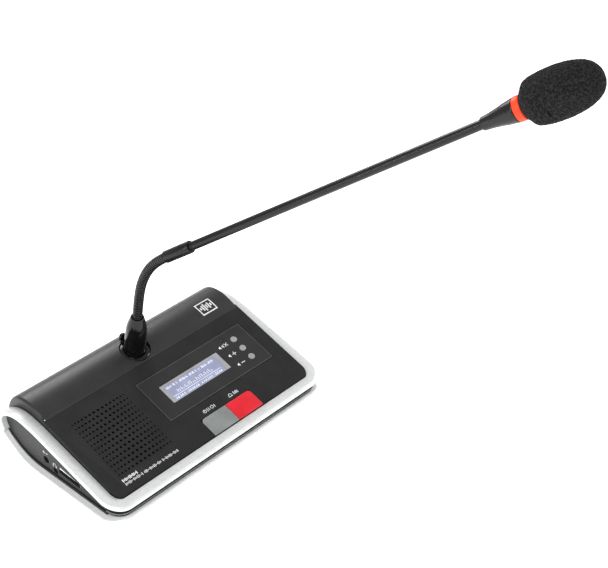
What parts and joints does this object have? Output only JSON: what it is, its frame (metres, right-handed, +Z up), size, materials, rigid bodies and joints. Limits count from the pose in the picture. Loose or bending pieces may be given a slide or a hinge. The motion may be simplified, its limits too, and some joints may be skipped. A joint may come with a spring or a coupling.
{
  "type": "gooseneck conference microphone",
  "caption": "Wireless desk conference microphone: wedge base with display, keys and loudspeaker, and a plug-in bendable neck with a light ring and foam windscreen.",
  "frame": {"origin": "on the desk, under the middle of the base's footprint, in the plane of the rubber mat's lower face", "axes": "+X to the talker's right, +Y away from the talker, +Z up"},
  "size_m": [0.2419, 0.3584, 0.3427],
  "materials": {
    "matt_black": "matte",
    "satin_black": "satin",
    "neck_black": "satin",
    "silver_trim": "satin",
    "dark_side": "satin",
    "gloss_black": "polished",
    "red_key": "satin",
    "grey_key": "satin",
    "button_grey": "satin",
    "display_lens": "polished",
    "glow_red": "polished",
    "foam_black": "matte",
    "board_green": "satin",
    "bright_metal": "satin",
    "capsule_metal": "satin",
    "rubber_black": "matte",
    "paper_cone": "matte",
    "cell_wrap": "satin"
  },
  "bodies": {
    "base": {"top_housing": "matt_black", "bottom_housing": "satin_black", "upper_trim": "silver_trim", "lower_trim": "silver_trim", "left_side_panel": "dark_side", "right_side_panel": "dark_side", "front_fascia": "gloss_black", "control_overlay": "satin_black", "display_window": "display_lens", "display_module": "gloss_black", "speaker_grille": "matt_black", "speaker_frame": "bright_metal", "speaker_cone": "paper_cone", "main_board": "board_green", "mute_switch": "satin_black", "volume_up_switch": "satin_black", "volume_down_switch": "satin_black", "on_off_switch": "satin_black", "priority_switch": "satin_black", "mute_led": "glow_red", "battery_pack": "cell_wrap", "dc_jack": "gloss_black", "headphone_jack": "gloss_black", "side_connector": "bright_metal", "radio_module": "bright_metal", "antenna": "bright_metal", "mic_socket": "satin_black", "socket_flange": "gloss_black", "housing_screw_a": "bright_metal", "housing_screw_b": "bright_metal", "housing_screw_c": "bright_metal", "housing_screw_d": "bright_metal", "desk_mat": "rubber_black"},
    "mute_button": {"mute_button": "button_grey"},
    "volume_up_button": {"volume_up_button": "button_grey"},
    "volume_down_button": {"volume_down_button": "button_grey"},
    "on_off_key": {"on_off_key": "grey_key"},
    "priority_key": {"priority_key": "red_key"},
    "release_latch": {"release_latch": "gloss_black"},
    "microphone": {"cone_sleeve": "gloss_black", "mic_plug": "bright_metal", "neck_link_1": "neck_black"},
    "neck_2": {"neck_link_2": "neck_black"},
    "neck_3": {"neck_link_3": "neck_black"},
    "neck_4": {"neck_link_4": "neck_black"},
    "neck_5": {"neck_link_5": "neck_black"},
    "neck_6": {"neck_link_6": "neck_black"},
    "neck_7": {"neck_link_7": "neck_black"},
    "neck_8": {"neck_link_8": "neck_black"},
    "head": {"neck_ferrule": "neck_black", "neck_tube": "neck_black", "head_cone": "gloss_black", "light_ring": "glow_red", "mic_capsule": "capsule_metal", "capsule_grille": "capsule_metal"},
    "windscreen": {"windscreen": "foam_black"}
  },
  "joints": [
    {"name": "mute_button_press", "type": "slide", "parent": "base", "child": "mute_button", "axis": [0, 0.3289, -0.9444], "range_m": [0, 0.0006], "stiffness_N_per_m": 1500, "springref_m": -0.0003},
    {"name": "volume_up_button_press", "type": "slide", "parent": "base", "child": "volume_up_button", "axis": [0, 0.3289, -0.9444], "range_m": [0, 0.0006], "stiffness_N_per_m": 1500, "springref_m": -0.0003},
    {"name": "volume_down_button_press", "type": "slide", "parent": "base", "child": "volume_down_button", "axis": [0, 0.3289, -0.9444], "range_m": [0, 0.0006], "stiffness_N_per_m": 1500, "springref_m": -0.0003},
    {"name": "on_off_key_press", "type": "slide", "parent": "base", "child": "on_off_key", "axis": [0, 0.3289, -0.9444], "range_m": [0, 0.0006], "stiffness_N_per_m": 2500, "springref_m": -0.0003},
    {"name": "priority_key_press", "type": "slide", "parent": "base", "child": "priority_key", "axis": [0, 0.3289, -0.9444], "range_m": [0, 0.0006], "stiffness_N_per_m": 2500, "springref_m": -0.0003},
    {"name": "latch_slide", "type": "slide", "parent": "base", "child": "release_latch", "axis": [0, 1, 0], "range_m": [0, 0.0015], "stiffness_N_per_m": 900, "springref_m": -0.0006},
    {"name": "mic_unplug", "type": "slide", "parent": "base", "child": "microphone", "axis": [0, -0.2381, 0.9713], "range_m": [0, 0.045]},
    {"name": "neck_nod_1", "type": "hinge", "parent": "microphone", "child": "neck_2", "pos_m": [0, 0.0389, 0.09103], "axis": [0.8909, 0.4411, 0.1081], "range_deg": [-12.5, 8.5]},
    {"name": "neck_swing_1", "type": "hinge", "parent": "neck_2", "child": "neck_3", "pos_m": [0, 0.03652, 0.10075], "axis": [-0.4541, 0.8624, 0.2239], "range_deg": [-10, 10]},
    {"name": "neck_nod_2", "type": "hinge", "parent": "neck_3", "child": "neck_4", "pos_m": [0.00011, 0.03396, 0.11029], "axis": [0.8909, 0.4411, 0.1081], "range_deg": [-12.5, 8.5]},
    {"name": "neck_swing_2", "type": "hinge", "parent": "neck_4", "child": "neck_5", "pos_m": [0.00048, 0.03089, 0.11975], "axis": [-0.4493, 0.8217, 0.3505], "range_deg": [-10, 10]},
    {"name": "neck_nod_3", "type": "hinge", "parent": "neck_5", "child": "neck_6", "pos_m": [0.0014, 0.02685, 0.12865], "axis": [0.8909, 0.4411, 0.1081], "range_deg": [-12.5, 8.5]},
    {"name": "neck_swing_3", "type": "hinge", "parent": "neck_6", "child": "neck_7", "pos_m": [0.00285, 0.02188, 0.13702], "axis": [-0.4118, 0.6844, 0.6016], "range_deg": [-10, 10]},
    {"name": "neck_nod_4", "type": "hinge", "parent": "neck_7", "child": "neck_8", "pos_m": [0.00502, 0.01585, 0.14374], "axis": [0.8909, 0.4411, 0.1081], "range_deg": [-12.5, 8.5]},
    {"name": "neck_swing_4", "type": "hinge", "parent": "neck_8", "child": "head", "pos_m": [0.00786, 0.00869, 0.14953], "axis": [-0.3314, 0.4687, 0.8189], "range_deg": [-10, 10]},
    {"name": "windscreen_pull", "type": "slide", "parent": "head", "child": "windscreen", "axis": [0.3255, -0.7862, 0.5253], "range_m": [0, 0.05]}
  ]
}
